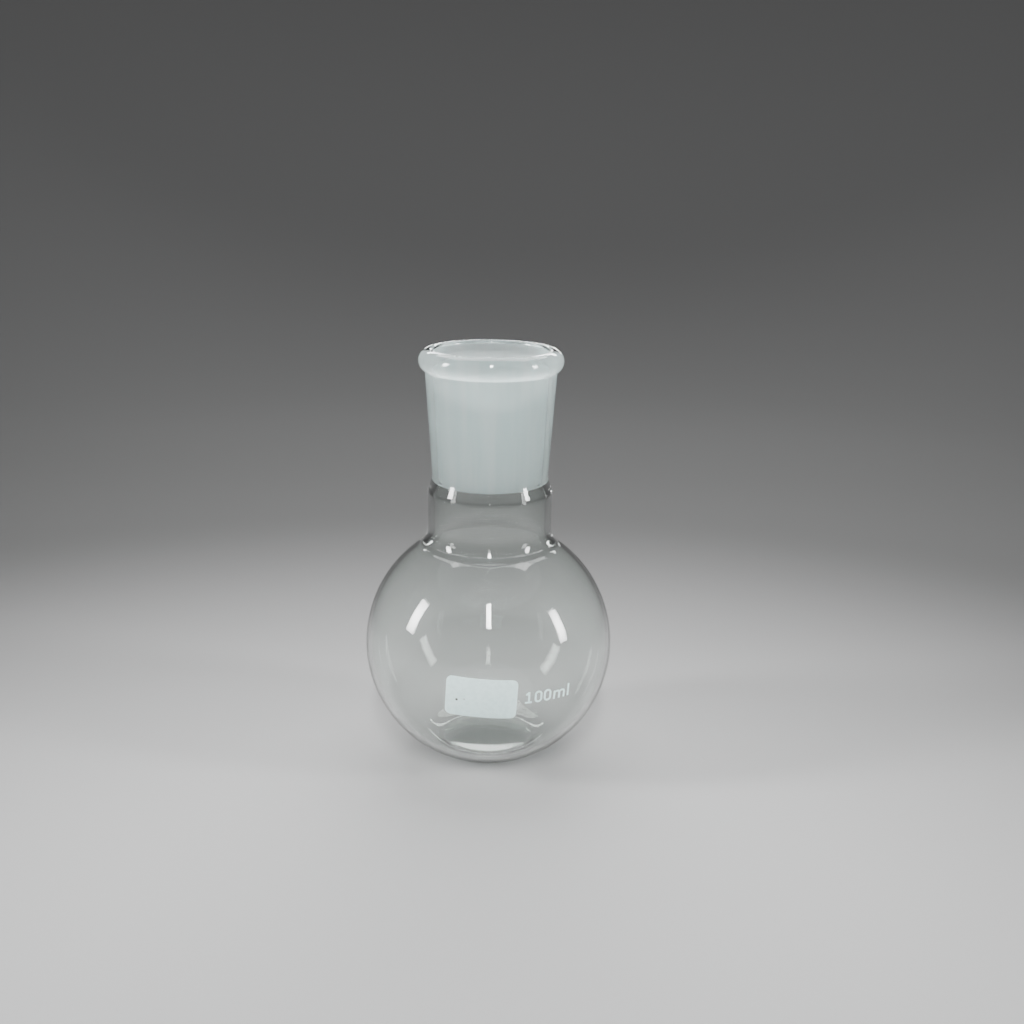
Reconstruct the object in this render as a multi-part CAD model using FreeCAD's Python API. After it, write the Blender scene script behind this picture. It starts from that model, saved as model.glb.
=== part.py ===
import FreeCAD, Part
import os
from math import sqrt

# Boiling flask for 100 ml: one piece of blown borosilicate glass with a round body, a short neck and
# a ground conical socket with a bead round its mouth. A white enamel marking patch is fired onto it.
# Millimetres. Z is the axis, the flask stands on Z = 0 and the patch faces -Y.

# Round body
body_radius = 32.0
body_wall = 1.1
hollow_rise = 0.35              # the hollow's centre lies above the body's, so the wall thickens downwards
base_radius = 11.4              # flat that the flask stands on
base_edge_rounding = 3.0
floor_thickness = 2.5
floor_edge_rounding = 10.0

# Neck
neck_radius = 15.8
neck_wall = 1.7
neck_length = 13.4
neck_root_rounding = 5.5
neck_root_rounding_inside = 5.5

# Shoulder between the neck and the narrow end of the socket
shoulder_height = 3.2
shoulder_height_inside = 3.0
shoulder_step = 1.2             # the inside of the shoulder ends this much lower than the outside
shoulder_foot_rounding = 2.4
shoulder_top_rounding = 1.5

# Ground socket, size 29/32: 29.2 mm across at its wide end and 32 mm long, tapering 1 in 10
socket_radius = 14.6
socket_length = 32.0
grinding_overrun = 0.8
socket_taper = 0.1
socket_wall_at_foot = 1.6
socket_wall_at_mouth = 2.25

# Bead round the mouth
bead_section_radius = 3.0
bead_projection = 1.4
bead_crease_rounding = 0.5
mouth_height = 0.95             # from the ground surface up to the top of the bead
mouth_rounding = 0.9

# Enamel marking patch
patch_width = 17.35
patch_height = 10.4
patch_corner_rounding = 1.4
patch_thickness = 0.1
patch_clearance = 0.03          # between the glass and the enamel, two curved faces on the same centre
patch_drop = 3.0                # its centre lies this far below the body's
patch_tilt = 3.4                # degrees, clockwise seen from the front

# Heights and radii that follow from these sizes
body_centre = base_edge_rounding + sqrt((body_radius - base_edge_rounding) ** 2 - base_radius ** 2)
neck_root = body_centre + sqrt(body_radius ** 2 - neck_radius ** 2)
shoulder_foot = neck_root + neck_length
shoulder_top = shoulder_foot + shoulder_height
socket_foot = shoulder_top - shoulder_step
socket_mouth = socket_foot + socket_length + grinding_overrun
socket_foot_radius = socket_radius - (socket_mouth - socket_foot) * socket_taper / 2
bead_centre = socket_mouth + mouth_height - bead_section_radius

AXIS = FreeCAD.Vector(0, 0, 1)
RIGHT = FreeCAD.Vector(1, 0, 0)
FRONT = FreeCAD.Vector(0, -1, 0)
ORIGIN = FreeCAD.Vector(0, 0, 0)


def at(radius, height):
    """A point of the half section, which lies in the XZ plane."""
    return FreeCAD.Vector(radius, 0, height)


def on_line(start, end, height):
    """The point at a height on the straight line through two points."""
    return start + (end - start) * ((height - start.z) / (end.z - start.z))


def crossings(centre, radius, start, end):
    """Where the straight line through two points crosses a circle, lowest first."""
    along = (end - start).normalize()
    middle = start + along * (centre - start).dot(along)
    half_chord = sqrt(radius ** 2 - middle.distanceToPoint(centre) ** 2)
    return sorted((middle - along * half_chord, middle + along * half_chord), key=lambda point: point.z)


def straight(start, end):
    return Part.makeLine(start, end)


def arc(start, end, centre):
    """An arc round a centre, bulging away from the axis."""
    outermost = centre + RIGHT * start.distanceToPoint(centre)
    return Part.Arc(start, outermost, end).toShape()


def rounded(edges, roundings):
    """A wire of edges in the XZ plane, with the corner after each edge rounded where its radius isn't 0."""
    edges = list(edges)
    for index in reversed(range(len(roundings))):
        if roundings[index]:
            corner = Part.ChFi2d.FilletAlgo(edges[index], edges[index + 1], Part.Plane(ORIGIN, FRONT))
            corner.perform(roundings[index])
            curve, before, after = corner.result(edges[index].lastVertex().Point)
            edges[index:index + 2] = [before, curve, after]
    return Part.Wire(edges)


def flask():
    """The glass: half a section, outside from the base up and inside back down, turned round the axis."""
    # Outside: flat base, round body, neck, shoulder and the socket's outer cone
    body_middle = at(0, body_centre)
    base_corner = at(sqrt(body_radius ** 2 - body_centre ** 2), 0)
    neck_start = at(neck_radius, neck_root)
    neck_end = at(neck_radius, shoulder_foot)
    cone_foot = at(socket_foot_radius + socket_wall_at_foot, socket_foot)
    cone_mouth = at(socket_radius + socket_wall_at_mouth, socket_mouth)
    shoulder_end = on_line(cone_foot, cone_mouth, shoulder_top)

    # Bead, from its crease on the outer cone round to the ground surface
    bead_outermost = on_line(cone_foot, cone_mouth, bead_centre).x + bead_projection
    bead_middle = at(bead_outermost - bead_section_radius, bead_centre)
    ground_foot = at(socket_foot_radius, socket_foot)
    ground_mouth = at(socket_radius, socket_mouth)
    crease = crossings(bead_middle, bead_section_radius, cone_foot, cone_mouth)[0]
    lip = crossings(bead_middle, bead_section_radius, ground_foot, ground_mouth)[-1]

    # Inside: shoulder, bore, round hollow and flat floor
    bore_radius = neck_radius - neck_wall
    hollow_middle = at(0, body_centre + hollow_rise)
    hollow_radius = body_radius - body_wall
    bore_end = at(bore_radius, socket_foot - shoulder_height_inside)
    bore_start = crossings(hollow_middle, hollow_radius, at(bore_radius, 0), bore_end)[-1]
    floor_depth = hollow_middle.z - floor_thickness
    floor_corner = at(sqrt(hollow_radius ** 2 - floor_depth ** 2), floor_thickness)
    floor_centre = at(0, floor_thickness)

    section = rounded(
        [
            straight(ORIGIN, base_corner),
            arc(base_corner, neck_start, body_middle),
            straight(neck_start, neck_end),
            straight(neck_end, shoulder_end),
            straight(shoulder_end, crease),
            arc(crease, lip, bead_middle),
            straight(lip, ground_foot),
            straight(ground_foot, bore_end),
            straight(bore_end, bore_start),
            arc(bore_start, floor_corner, hollow_middle),
            straight(floor_corner, floor_centre),
            straight(floor_centre, ORIGIN),
        ],
        [
            base_edge_rounding,
            neck_root_rounding,
            shoulder_foot_rounding,
            shoulder_top_rounding,
            bead_crease_rounding,
            mouth_rounding,
            shoulder_top_rounding,
            shoulder_foot_rounding,
            neck_root_rounding_inside,
            floor_edge_rounding,
        ],
    )
    return Part.Face(section).revolve(ORIGIN, AXIS, 360)


def marking_patch():
    """The enamel: a rounded rectangle of a thin layer on the round body, cut out from the front."""
    half_width, half_height = patch_width / 2, patch_height / 2
    corners = [at(half_width, half_height), at(half_width, -half_height),
               at(-half_width, -half_height), at(-half_width, half_height)]
    top_middle = at(0, half_height)
    stops = [top_middle] + corners + [top_middle]
    sides = [straight(start, end) for start, end in zip(stops, stops[1:])]
    cutter = Part.Face(rounded(sides, [patch_corner_rounding] * len(corners))).extrude(FRONT * 2 * body_radius)
    cutter.rotate(ORIGIN, -FRONT, patch_tilt)
    cutter.translate(AXIS * (body_centre - patch_drop))

    body_middle = at(0, body_centre)
    seat_radius = body_radius + patch_clearance
    layer = Part.makeSphere(seat_radius + patch_thickness, body_middle).cut(
        Part.makeSphere(seat_radius, body_middle))
    return layer.common(cutter).removeSplitter().Solids[0]


os.makedirs("parts", exist_ok=True)
for name, shape in {"flask": flask(), "marking_patch": marking_patch()}.items():
    shape.exportStep(os.path.join("parts", name + ".step"))
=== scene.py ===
from cmath import exp, phase
from collections import namedtuple
from math import ceil, cos, pi, radians, sin, sqrt, tau

import bpy
import numpy as np
from mathutils import Matrix, Vector


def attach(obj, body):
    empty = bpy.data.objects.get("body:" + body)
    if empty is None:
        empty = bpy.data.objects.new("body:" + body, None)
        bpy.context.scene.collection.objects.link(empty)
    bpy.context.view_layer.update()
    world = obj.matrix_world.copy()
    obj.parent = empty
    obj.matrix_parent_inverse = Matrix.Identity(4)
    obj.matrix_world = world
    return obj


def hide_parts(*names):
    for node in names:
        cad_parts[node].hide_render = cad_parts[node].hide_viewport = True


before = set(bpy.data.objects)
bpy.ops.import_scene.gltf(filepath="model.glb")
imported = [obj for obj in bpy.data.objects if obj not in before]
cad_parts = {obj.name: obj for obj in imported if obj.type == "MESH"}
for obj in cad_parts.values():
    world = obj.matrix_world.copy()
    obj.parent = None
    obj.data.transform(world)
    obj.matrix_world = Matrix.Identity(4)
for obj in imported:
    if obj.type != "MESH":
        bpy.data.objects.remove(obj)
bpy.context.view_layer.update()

# The boiling flask as the camera sees it: fine glass with a ground socket, the enamel marking patch and
# the capacity mark, on a plain pale floor. Metres. Z is the axis and the patch faces -Y.

# Round body
BODY_RADIUS = 0.0320
BODY_WALL = 0.0011
HOLLOW_RISE = 0.00035
BASE_RADIUS = 0.0114
BASE_EDGE_ROUNDING = 0.0030
FLOOR_THICKNESS = 0.0025
FLOOR_EDGE_ROUNDING = 0.0100

# Neck and shoulder
NECK_RADIUS = 0.0158
NECK_WALL = 0.0017
NECK_LENGTH = 0.0134
NECK_ROOT_ROUNDING = 0.0055
SHOULDER_HEIGHT = 0.0032
SHOULDER_HEIGHT_INSIDE = 0.0030
SHOULDER_STEP = 0.0012
SHOULDER_FOOT_ROUNDING = 0.0024
SHOULDER_TOP_ROUNDING = 0.0015

# Ground socket and the bead round its mouth
SOCKET_RADIUS = 0.0146
SOCKET_LENGTH = 0.0320
GRINDING_OVERRUN = 0.0008
SOCKET_TAPER = 0.1
SOCKET_WALL_AT_FOOT = 0.0016
SOCKET_WALL_AT_MOUTH = 0.00225
BEAD_SECTION_RADIUS = 0.0030
BEAD_PROJECTION = 0.0014
BEAD_CREASE_ROUNDING = 0.0005
MOUTH_HEIGHT = 0.00095
MOUTH_ROUNDING = 0.0009

# Enamel
PATCH_WIDTH = 0.01735
PATCH_HEIGHT = 0.0104
PATCH_CORNER_ROUNDING = 0.0014
PATCH_DROP = 0.0030
PATCH_TILT = radians(3.4)
ENAMEL_CLEARANCE = 0.00003      # between the glass and the enamel
ENAMEL_THICKNESS = 0.00010
PATCH_EDGE = [                  # from below: share of the outline's size, share of the thickness
    (0.985, 0), (0.997, 0), (1, 0.35), (0.998, 0.65), (0.992, 0.9), (0.986, 0.98), (0.98, 1),
]
SPECKS = [                      # flaws: across and up from the body's centre, radius, colour
    (-0.00594, -0.00344, 0.00030, (0.06, 0.07, 0.06)),
    (-0.00410, -0.00324, 0.00020, (0.40, 0.48, 0.46)),
]
SPECK_BLUR = 0.2                # of the radius, inwards and outwards

# Capacity mark "100ml", drawn in millimetres from the left end of its baseline. Each nought is a ring with
# a hole in it.
MARK_START = radians(19.4)      # round to the right from the front
MARK_BASELINE = radians(-8.45)  # above the body's equator
Letter = namedtuple("Letter", "left corners roundings")
ONE = [0, 1.75, 1.75 + 0.42j, 1.2 + 0.42j, 1.2 + 3j, 0.78 + 3j, 0.08 + 2.45j, 0.32 + 2.08j, 0.7 + 2.36j,
       0.7 + 0.42j, 0.42j]
RING = [0, 2, 2 + 3.1j, 3.1j]
HOLE = [0, 1, 1 + 2.15j, 2.15j]
EM = [0, 0.5, 0.5 + 1.83j, 1.42 + 1.83j, 1.42, 1.92, 1.92 + 1.83j, 2.82 + 1.83j, 2.82, 3.32, 3.32 + 2.25j,
      2.1 + 2.25j, 1.75 + 2j, 1.42 + 2.25j, 0.8 + 2.25j, 0.5 + 2.03j, 0.45 + 2.22j, 2.22j]
EM_ROUNDINGS = [0.05] * 2 + [0.2, 0.4] + [0.05] * 2 + [0.2, 0.4] + [0.05] * 2 + [0.75] + [0.1] * 7
ELL = [0, 0.5, 0.5 + 3.25j, 3.25j]
MARK = [
    Letter(0, ONE, [0.05] * 11),
    Letter(2.4 - 0.05j, RING, [0.95] * 4),
    Letter(2.9 + 0.42j, HOLE, [0.46] * 4),
    Letter(4.84 - 0.05j, RING, [0.95] * 4),
    Letter(5.34 + 0.42j, HOLE, [0.46] * 4),
    Letter(7.54, EM, EM_ROUNDINGS),
    Letter(11.66, ELL, [0.05] * 4),
]

MILLIMETRE = 0.001

# Fineness of the meshes
TURN_STEPS = 192
FLASK_STEP = 0.0008
PATCH_STEP = 0.0007
PATCH_RINGS = 12                # from the middle to the outline
MARK_STEP = 0.8                 # in millimetres, as the letters
STUDIO_STEP = 0.05
ARC_TURN = radians(9)
NEWTON_STEPS = 20

# Heights and radii that follow from the sizes
BODY_CENTRE = BASE_EDGE_ROUNDING + sqrt((BODY_RADIUS - BASE_EDGE_ROUNDING) ** 2 - BASE_RADIUS ** 2)
NECK_ROOT = BODY_CENTRE + sqrt(BODY_RADIUS ** 2 - NECK_RADIUS ** 2)
SHOULDER_FOOT = NECK_ROOT + NECK_LENGTH
SHOULDER_TOP = SHOULDER_FOOT + SHOULDER_HEIGHT
SOCKET_FOOT = SHOULDER_TOP - SHOULDER_STEP
SOCKET_MOUTH = SOCKET_FOOT + SOCKET_LENGTH + GRINDING_OVERRUN
SOCKET_FOOT_RADIUS = SOCKET_RADIUS - (SOCKET_MOUTH - SOCKET_FOOT) * SOCKET_TAPER / 2
BEAD_CENTRE = SOCKET_MOUTH + MOUTH_HEIGHT - BEAD_SECTION_RADIUS

# Camera, where the photograph was taken from
CAMERA_PLACE = Vector((0.0166, -0.3205, 0.1536))
CAMERA_HEADING = radians(1.95)
CAMERA_PITCH = radians(-15.5)
CAMERA_ROLL = radians(0.86)
CAMERA_LENS = 45.7              # this and the sensor in millimetres
SENSOR_WIDTH = 36.0
NEAREST_SEEN = 0.01

# Studio
FLOOR_LEVEL = -0.0002           # just under the flask, so that no two faces share a place
STUDIO_RADIUS = 1.1
STUDIO_HEIGHT = 1.3
COVE_RADIUS = 0.5
STUDIO_FRONT = 0.12             # the studio's middle, where its floor is palest, is so far before the flask
# Floor colours: pale in the middle, going dark outwards and up the wall. The darkening is painted shade
# where the light would fall off
PALE = (0.34, 0.34, 0.34)
PAINTED_SHADE = (0.04, 0.04, 0.04)
PALE_REACH = 0.06               # from the studio's middle
PAINTED_SHADE_REACH = 0.36
AIR_COLOUR = (0.9, 0.95, 1.0)
AIR_STRENGTH = 0.35

# Materials
GLASS_INDEX = 1.474             # of refraction
ENAMEL_INDEX = 1.5
SPECKLE_RANGE = (0.35, 0.65)    # nearly all of the noise lies between these


# Sections and outlines are chains of edges. Their points are complex numbers: across + up * 1j.
CLEAR, GROUND = 0, 1
Edge = namedtuple("Edge", "start end centre finish", defaults=[None, CLEAR])


def foot(point, edge):
    """The nearest point on the line or circle that an edge lies on."""
    if edge.centre is None:
        along = (edge.end - edge.start) / abs(edge.end - edge.start)
        return edge.start + along * ((point - edge.start) * along.conjugate()).real
    arm = point - edge.centre
    return edge.centre + arm / abs(arm) * abs(edge.start - edge.centre)


def sweep(edge):
    """The angle that an arc turns through, counted anticlockwise."""
    return phase((edge.end - edge.centre) / (edge.start - edge.centre))


def heading(edge, point):
    """The direction of an edge at one of its points, as a number of length 1."""
    if edge.centre is None:
        along = edge.end - edge.start
    else:
        along = (point - edge.centre) * 1j * sweep(edge)
    return along / abs(along)


def rounded(edges, roundings):
    """The edges with the corner after each one rounded."""
    edges = list(edges)
    for index in reversed(range(len(roundings))):
        before, after = edges[index], edges[index + 1]
        radius, corner = roundings[index], edges[index].end
        inwards = heading(after, corner) - heading(before, corner)
        centre = corner + radius * inwards / abs(inwards)
        for _ in range(NEWTON_STEPS):
            gaps = [centre - foot(centre, edge) for edge in (before, after)]
            normals = [(gap.real / abs(gap), gap.imag / abs(gap)) for gap in gaps]
            centre += complex(*np.linalg.solve(normals, [radius - abs(gap) for gap in gaps]))
        arc = Edge(foot(centre, before), foot(centre, after), centre, before.finish)
        edges[index:index + 2] = [before._replace(end=arc.start), arc, after._replace(start=arc.end)]
    return edges


def points_along(edges, step):
    """Points along a chain of edges, without the last edge's end. No two are further apart than the step."""
    points = []
    for edge in edges:
        if edge.centre is None:
            count = ceil(abs(edge.end - edge.start) / step)
            points += [edge.start + (edge.end - edge.start) * k / count for k in range(count)]
        else:
            turn, arm = sweep(edge), edge.start - edge.centre
            count = ceil(abs(turn) * max(abs(arm) / step, 1 / ARC_TURN))
            points += [edge.centre + arm * exp(1j * turn * k / count) for k in range(count)]
    return points


def closed_outline(corners, roundings, step):
    """Points round a flat figure with rounded corners, from the middle of its last side."""
    start = (corners[0] + corners[-1]) / 2
    stops = [start, *corners, start]
    sides = [Edge(one, other) for one, other in zip(stops, stops[1:])]
    return points_along(rounded(sides, roundings), step)


def on_line(start, end, height):
    """The point at a height on the straight line through two points."""
    return start + (end - start) * ((height - start.imag) / (end.imag - start.imag))


def crossings(centre, radius, start, end):
    """Where the straight line through two points crosses a circle, lowest first."""
    line = Edge(start, end)
    middle = foot(centre, line)
    half_chord = sqrt(radius ** 2 - abs(middle - centre) ** 2) * heading(line, start)
    return sorted((middle - half_chord, middle + half_chord), key=lambda point: point.imag)


def flask_section():
    """The glass, outside from the base up and inside back down to the floor."""
    body_middle = BODY_CENTRE * 1j
    base_corner = complex(sqrt(BODY_RADIUS ** 2 - BODY_CENTRE ** 2), 0)
    neck_start = complex(NECK_RADIUS, NECK_ROOT)
    neck_end = complex(NECK_RADIUS, SHOULDER_FOOT)
    cone_foot = complex(SOCKET_FOOT_RADIUS + SOCKET_WALL_AT_FOOT, SOCKET_FOOT)
    cone_mouth = complex(SOCKET_RADIUS + SOCKET_WALL_AT_MOUTH, SOCKET_MOUTH)
    shoulder_end = on_line(cone_foot, cone_mouth, SHOULDER_TOP)

    bead_outermost = on_line(cone_foot, cone_mouth, BEAD_CENTRE).real + BEAD_PROJECTION
    bead_middle = complex(bead_outermost - BEAD_SECTION_RADIUS, BEAD_CENTRE)
    ground_foot = complex(SOCKET_FOOT_RADIUS, SOCKET_FOOT)
    ground_mouth = complex(SOCKET_RADIUS, SOCKET_MOUTH)
    crease = crossings(bead_middle, BEAD_SECTION_RADIUS, cone_foot, cone_mouth)[0]
    lip = crossings(bead_middle, BEAD_SECTION_RADIUS, ground_foot, ground_mouth)[-1]

    bore_radius = NECK_RADIUS - NECK_WALL
    hollow_middle = body_middle + HOLLOW_RISE * 1j
    hollow_radius = BODY_RADIUS - BODY_WALL
    bore_end = complex(bore_radius, SOCKET_FOOT - SHOULDER_HEIGHT_INSIDE)
    bore_start = crossings(hollow_middle, hollow_radius, complex(bore_radius, 0), bore_end)[-1]
    floor_depth = hollow_middle.imag - FLOOR_THICKNESS
    floor_corner = complex(sqrt(hollow_radius ** 2 - floor_depth ** 2), FLOOR_THICKNESS)

    return rounded(
        [
            Edge(0j, base_corner),
            Edge(base_corner, neck_start, body_middle),
            Edge(neck_start, neck_end),
            Edge(neck_end, shoulder_end),
            Edge(shoulder_end, crease),
            Edge(crease, lip, bead_middle),
            Edge(lip, ground_foot, finish=GROUND),
            Edge(ground_foot, bore_end),
            Edge(bore_end, bore_start),
            Edge(bore_start, floor_corner, hollow_middle),
            Edge(floor_corner, FLOOR_THICKNESS * 1j),
        ],
        [
            BASE_EDGE_ROUNDING,
            NECK_ROOT_ROUNDING,
            SHOULDER_FOOT_ROUNDING,
            SHOULDER_TOP_ROUNDING,
            BEAD_CREASE_ROUNDING,
            MOUTH_ROUNDING,
            SHOULDER_TOP_ROUNDING,
            SHOULDER_FOOT_ROUNDING,
            NECK_ROOT_ROUNDING,
            FLOOR_EDGE_ROUNDING,
        ],
    )


def new_object(name, points, faces, materials, finishes=()):
    """A smooth mesh in the scene."""
    mesh = bpy.data.meshes.new(name)
    mesh.from_pydata(points, [], faces)
    for material in materials:
        mesh.materials.append(material)
    for face, finish in zip(mesh.polygons, finishes):
        face.material_index = finish
    mesh.shade_smooth()
    made = bpy.data.objects.new(name, mesh)
    bpy.context.collection.objects.link(made)
    return made


def skin(name, first, rings, last, materials, finishes=()):
    """A mesh over rings of equally many points, closed by a tip before the first ring and after the last.

    Where the rings have finishes, each face takes that of the ring before it.
    """
    count = len(rings[0])
    points = [point for ring in rings for point in ring] + [tip for tip in (first, last) if tip]
    first_tip = len(rings) * count
    last_tip = first_tip + 1
    last_ring = first_tip - count
    faces, face_finishes = [], []
    for k in range(count):
        beside = (k + 1) % count
        column = [(first_tip, beside, k)]
        for low in range(0, last_ring, count):
            column.append((low + k, low + beside, low + count + beside, low + count + k))
        if last:
            column.append((last_ring + k, last_ring + beside, last_tip))
        faces += column
        if finishes:
            face_finishes += [finishes[0], *finishes][:len(column)]
    return new_object(name, points, faces, materials, face_finishes)


def turned(name, edges, step, materials, closed=True):
    """Edges that start on the axis, turned round it. A closed form also ends there."""
    stops = [(point, edge.finish) for edge in edges for point in points_along([edge], step)]
    on_axis = stops.pop(0)[0]
    if not closed:
        stops.append((edges[-1].end, edges[-1].finish))
    rings = [
        [(point.real * cos(tau * k / TURN_STEPS), point.real * sin(tau * k / TURN_STEPS), point.imag)
         for k in range(TURN_STEPS)]
        for point, _ in stops
    ]
    first = (0, 0, on_axis.imag)
    last = (0, 0, edges[-1].end.imag) if closed else None
    return skin(name, first, rings, last, materials, [finish for _, finish in stops])


def on_body(across, up, height=ENAMEL_THICKNESS):
    """A point on the front, so far from the body's centre as seen from there and so high over its seat."""
    reach = BODY_RADIUS + ENAMEL_CLEARANCE + height
    return (across, -sqrt(reach ** 2 - across ** 2 - up ** 2), BODY_CENTRE + up)


def marking_patch(material):
    """A thin closed layer of enamel, bent to the round body, with soft edges."""
    corner = complex(PATCH_WIDTH, PATCH_HEIGHT) / 2
    corners = [corner, -corner.conjugate(), -corner, corner.conjugate()]
    outline = closed_outline(corners, [PATCH_CORNER_ROUNDING] * 4, PATCH_STEP)
    turn_clockwise = exp(-1j * PATCH_TILT)

    def laid_on(point, height):
        """A point of the flat patch, laid straight back onto the body and raised off it."""
        turned_point = point * turn_clockwise
        return on_body(turned_point.real, turned_point.imag - PATCH_DROP, height)

    shares = [k / PATCH_RINGS for k in range(1, PATCH_RINGS)]
    underside = [(share, 0) for share in shares]
    top = [(share, 1) for share in reversed(shares)]
    rings = [
        [laid_on(point * share, ENAMEL_THICKNESS * height) for point in outline]
        for share, height in underside + PATCH_EDGE + top
    ]
    return skin("patch_enamel", laid_on(0, 0), rings, laid_on(0, ENAMEL_THICKNESS), [material])


def capacity_mark(material):
    """The letters of the capacity mark, as enamel bent to the round body."""
    drawing = bpy.data.curves.new("capacity_mark", "CURVE")
    drawing.dimensions = "2D"
    drawing.fill_mode = "BOTH"
    drawing.extrude = ENAMEL_THICKNESS / 2 / MILLIMETRE
    for letter in MARK:
        outline = closed_outline(letter.corners, letter.roundings, MARK_STEP)
        spline = drawing.splines.new("POLY")
        spline.points.add(len(outline) - 1)
        spline.use_cyclic_u = True
        for place, point in zip(outline, spline.points):
            point.co = ((letter.left + place).real, (letter.left + place).imag, 0, 1)
    flat = bpy.data.objects.new("capacity_mark_flat", drawing)
    mesh = bpy.data.meshes.new_from_object(flat)
    bpy.data.objects.remove(flat)
    for vertex in mesh.vertices:
        right, up, out = vertex.co * MILLIMETRE
        azimuth = MARK_START + right / (BODY_RADIUS * cos(MARK_BASELINE))
        elevation = MARK_BASELINE + up / BODY_RADIUS
        reach = BODY_RADIUS + ENAMEL_CLEARANCE + ENAMEL_THICKNESS / 2 + out
        level = reach * cos(elevation)
        vertex.co = (level * sin(azimuth), -level * cos(azimuth), BODY_CENTRE + reach * sin(elevation))
    mesh.materials.append(material)
    mark = bpy.data.objects.new("capacity_mark", mesh)
    bpy.context.collection.objects.link(mark)
    return mark


def new_material(name, **settings):
    """A material of one Principled shader. A setting's name is its socket's, in small letters."""
    made = bpy.data.materials.new(name)
    made.use_nodes = True
    shader = made.node_tree.nodes["Principled BSDF"]
    for socket in shader.inputs:
        setting = socket.name.lower().replace(" ", "_")
        if setting in settings:
            socket.default_value = settings[setting]
    return made


def speckle(material, per_metre, detail=2.0):
    """Noise over the object, with so many grains to the metre along X, Y and Z."""
    nodes, links = material.node_tree.nodes, material.node_tree.links
    place, scale, noise = (nodes.new("ShaderNode" + kind) for kind in ("TexCoord", "Mapping", "TexNoise"))
    scale.inputs["Scale"].default_value = per_metre
    noise.inputs["Scale"].default_value = 1.0
    noise.inputs["Detail"].default_value = detail
    links.new(place.outputs["Object"], scale.inputs["Vector"])
    links.new(scale.outputs["Vector"], noise.inputs["Vector"])
    return noise.outputs["Fac"]


def distance_from_origin(material):
    """How far a place is from the object's origin."""
    nodes, links = material.node_tree.nodes, material.node_tree.links
    place, length = nodes.new("ShaderNodeTexCoord"), nodes.new("ShaderNodeVectorMath")
    length.operation = "LENGTH"
    links.new(place.outputs["Object"], length.inputs[0])
    return length.outputs["Value"]


def colour_from(material, factor, low, high, span=SPECKLE_RANGE):
    """Colours the shader from the low colour to the high one as the factor goes over the span."""
    nodes, links = material.node_tree.nodes, material.node_tree.links
    ramp = nodes.new("ShaderNodeValToRGB")
    ramp.color_ramp.interpolation = "EASE"
    for element, place, colour in zip(ramp.color_ramp.elements, span, (low, high)):
        element.position = place
        element.color = (*colour, 1.0)
    links.new(factor, ramp.inputs["Fac"])
    links.new(ramp.outputs["Color"], nodes["Principled BSDF"].inputs["Base Color"])


def roughness_from(material, factor, low, high):
    """Makes the shader rougher from low to high as the factor goes over the speckle's range."""
    nodes, links = material.node_tree.nodes, material.node_tree.links
    scale = nodes.new("ShaderNodeMapRange")
    settings = {"From Min": SPECKLE_RANGE[0], "From Max": SPECKLE_RANGE[1], "To Min": low, "To Max": high}
    for socket, setting in settings.items():
        scale.inputs[socket].default_value = setting
    links.new(factor, scale.inputs["Value"])
    links.new(scale.outputs["Result"], nodes["Principled BSDF"].inputs["Roughness"])


def bump_from(material, height, depth):
    """Makes the surface uneven by the depth as the height goes from 0 to 1."""
    nodes, links = material.node_tree.nodes, material.node_tree.links
    bump = nodes.new("ShaderNodeBump")
    bump.inputs["Strength"].default_value = 1.0
    bump.inputs["Distance"].default_value = depth
    links.new(height, bump.inputs["Height"])
    links.new(bump.outputs["Normal"], nodes["Principled BSDF"].inputs["Normal"])


def spot(material, centre, radius, colour):
    """Lays a small round spot of another colour over the shader's colour."""
    nodes, links = material.node_tree.nodes, material.node_tree.links
    base = nodes["Principled BSDF"].inputs["Base Color"]
    place, reach, edge, mix = (
        nodes.new("ShaderNode" + kind) for kind in ("TexCoord", "VectorMath", "MapRange", "Mix"))
    reach.operation = "DISTANCE"
    reach.inputs[1].default_value = centre
    edge.inputs["From Min"].default_value = radius * (1 + SPECK_BLUR)
    edge.inputs["From Max"].default_value = radius * (1 - SPECK_BLUR)
    mix.data_type = "RGBA"
    mix.inputs["B"].default_value = (*colour, 1.0)
    links.new(place.outputs["Object"], reach.inputs[0])
    links.new(reach.outputs["Value"], edge.inputs["Value"])
    links.new(edge.outputs["Result"], mix.inputs["Factor"])
    links.new(base.links[0].from_socket, mix.inputs["A"])
    links.new(mix.outputs["Result"], base)


def softbox(name, azimuth, elevation, distance, width, height, power, spread=180):
    """A light that faces the flask, so far round to the right of the front. Angles are in degrees."""
    lamp = bpy.data.lights.new(name, "AREA")
    lamp.shape = "RECTANGLE"
    lamp.size, lamp.size_y = width, height
    lamp.energy = power
    lamp.spread = radians(spread)
    azimuth, elevation = radians(azimuth), radians(elevation)
    out = Vector((sin(azimuth) * cos(elevation), -cos(azimuth) * cos(elevation), sin(elevation)))
    light = bpy.data.objects.new(name, lamp)
    light.location = Vector((0, 0, BODY_CENTRE)) + out * distance
    light.rotation_euler = out.to_track_quat("Z", "Y").to_euler()
    light.visible_camera = False
    bpy.context.collection.objects.link(light)


# Clear glass: a trace of green, and faint ripples round it from the blowing
clear_glass = new_material("clear_glass", transmission_weight=1.0, ior=GLASS_INDEX)
tint = speckle(clear_glass, per_metre=(60, 60, 60))
colour_from(clear_glass, tint, low=(0.945, 0.980, 0.962), high=(0.965, 0.992, 0.976))
roughness_from(clear_glass, speckle(clear_glass, per_metre=(90, 90, 90)), low=0.0, high=0.02)
bump_from(clear_glass, speckle(clear_glass, per_metre=(40, 40, 300)), depth=0.00001)

# Ground glass: streaks along the socket, and part of the light scattered before it goes through
ground_glass = new_material("ground_glass", transmission_weight=0.85, ior=GLASS_INDEX)
streaks = speckle(ground_glass, per_metre=(350, 350, 12), detail=6.0)
colour_from(ground_glass, streaks, low=(0.80, 0.94, 0.94), high=(0.89, 0.99, 0.99))
roughness_from(ground_glass, speckle(ground_glass, per_metre=(500, 500, 60)), low=0.85, high=1.0)

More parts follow.
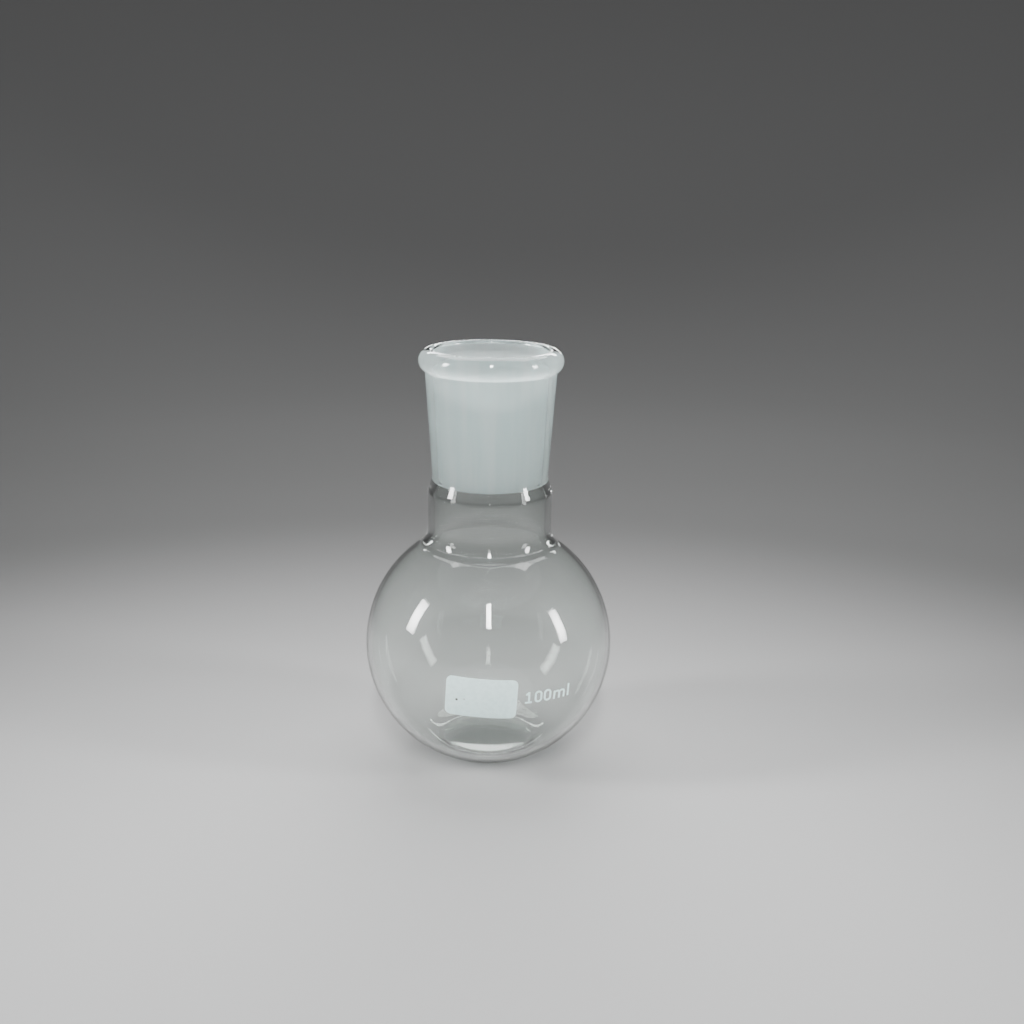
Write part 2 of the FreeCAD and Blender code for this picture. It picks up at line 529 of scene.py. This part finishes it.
# Enamel: a fine grain and the patch's flaws
white_enamel = new_material("white_enamel", ior=ENAMEL_INDEX)
grain = speckle(white_enamel, per_metre=(900, 900, 900))
colour_from(white_enamel, grain, low=(0.68, 0.88, 0.87), high=(0.74, 0.94, 0.93))
roughness_from(white_enamel, speckle(white_enamel, per_metre=(2500, 2500, 2500)), low=0.3, high=0.5)
bump_from(white_enamel, speckle(white_enamel, per_metre=(1500, 1500, 1500)), depth=0.00001)
for across, up, radius, colour in SPECKS:
    spot(white_enamel, on_body(across, up), radius, colour)

# Floor and wall: painted shade, pale in the middle and darker outwards and up the wall, as if the light fell
# off there
floor_matt = new_material("floor_matt", roughness=0.8)
reach = distance_from_origin(floor_matt)
colour_from(floor_matt, reach, low=PALE, high=PAINTED_SHADE, span=(PALE_REACH, PAINTED_SHADE_REACH))

# The flask and its enamel
flask = turned("flask_glass", flask_section(), FLASK_STEP, [clear_glass, ground_glass])
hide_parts("flask")

patch = marking_patch(white_enamel)
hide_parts("marking_patch")

mark = capacity_mark(white_enamel)

for piece in (flask, patch, mark):
    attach(piece, "root")

# Studio: a round floor and wall with a cove between them
floor_edge = complex(STUDIO_RADIUS, FLOOR_LEVEL)
wall_top = complex(STUDIO_RADIUS, STUDIO_HEIGHT)
floor_and_wall = rounded([Edge(FLOOR_LEVEL * 1j, floor_edge), Edge(floor_edge, wall_top)], [COVE_RADIUS])
studio = turned("studio", floor_and_wall, STUDIO_STEP, [floor_matt], closed=False)
studio.location.y = -STUDIO_FRONT

# Lights: one from above, strips behind for the thin light edges, and strips that mirror in the body
softbox("light_above", azimuth=180, elevation=62, distance=1.1, width=1.2, height=0.9, power=17)
softbox("light_back", azimuth=180, elevation=28, distance=1.0, width=1.4, height=0.05, power=2.5, spread=90)
softbox(
    "light_back_low", azimuth=180, elevation=10, distance=0.6, width=0.7, height=0.02, power=0.06, spread=30)
softbox("light_left", azimuth=-76, elevation=22, distance=0.9, width=0.15, height=0.4, power=0.9, spread=44)
softbox("light_right", azimuth=76, elevation=18, distance=0.9, width=0.13, height=0.4, power=0.7, spread=44)
softbox("light_front", azimuth=3, elevation=42, distance=0.9, width=0.06, height=0.35, power=1.7, spread=80)

# Light from all round
world = bpy.data.worlds.new("studio_air")
world.use_nodes = True
air = world.node_tree.nodes["Background"]
air.inputs["Color"].default_value = (*AIR_COLOUR, 1.0)
air.inputs["Strength"].default_value = AIR_STRENGTH
bpy.context.scene.world = world

# Camera
camera_data = bpy.data.cameras.new("camera")
camera_data.lens = CAMERA_LENS
camera_data.sensor_width = SENSOR_WIDTH
camera_data.clip_start = NEAREST_SEEN
camera = bpy.data.objects.new("camera", camera_data)
camera.matrix_world = (
    Matrix.Translation(CAMERA_PLACE)
    @ Matrix.Rotation(CAMERA_HEADING, 4, "Z")
    @ Matrix.Rotation(pi / 2 + CAMERA_PITCH, 4, "X")
    @ Matrix.Rotation(CAMERA_ROLL, 4, "Z")
)
bpy.context.collection.objects.link(camera)
bpy.context.scene.camera = camera
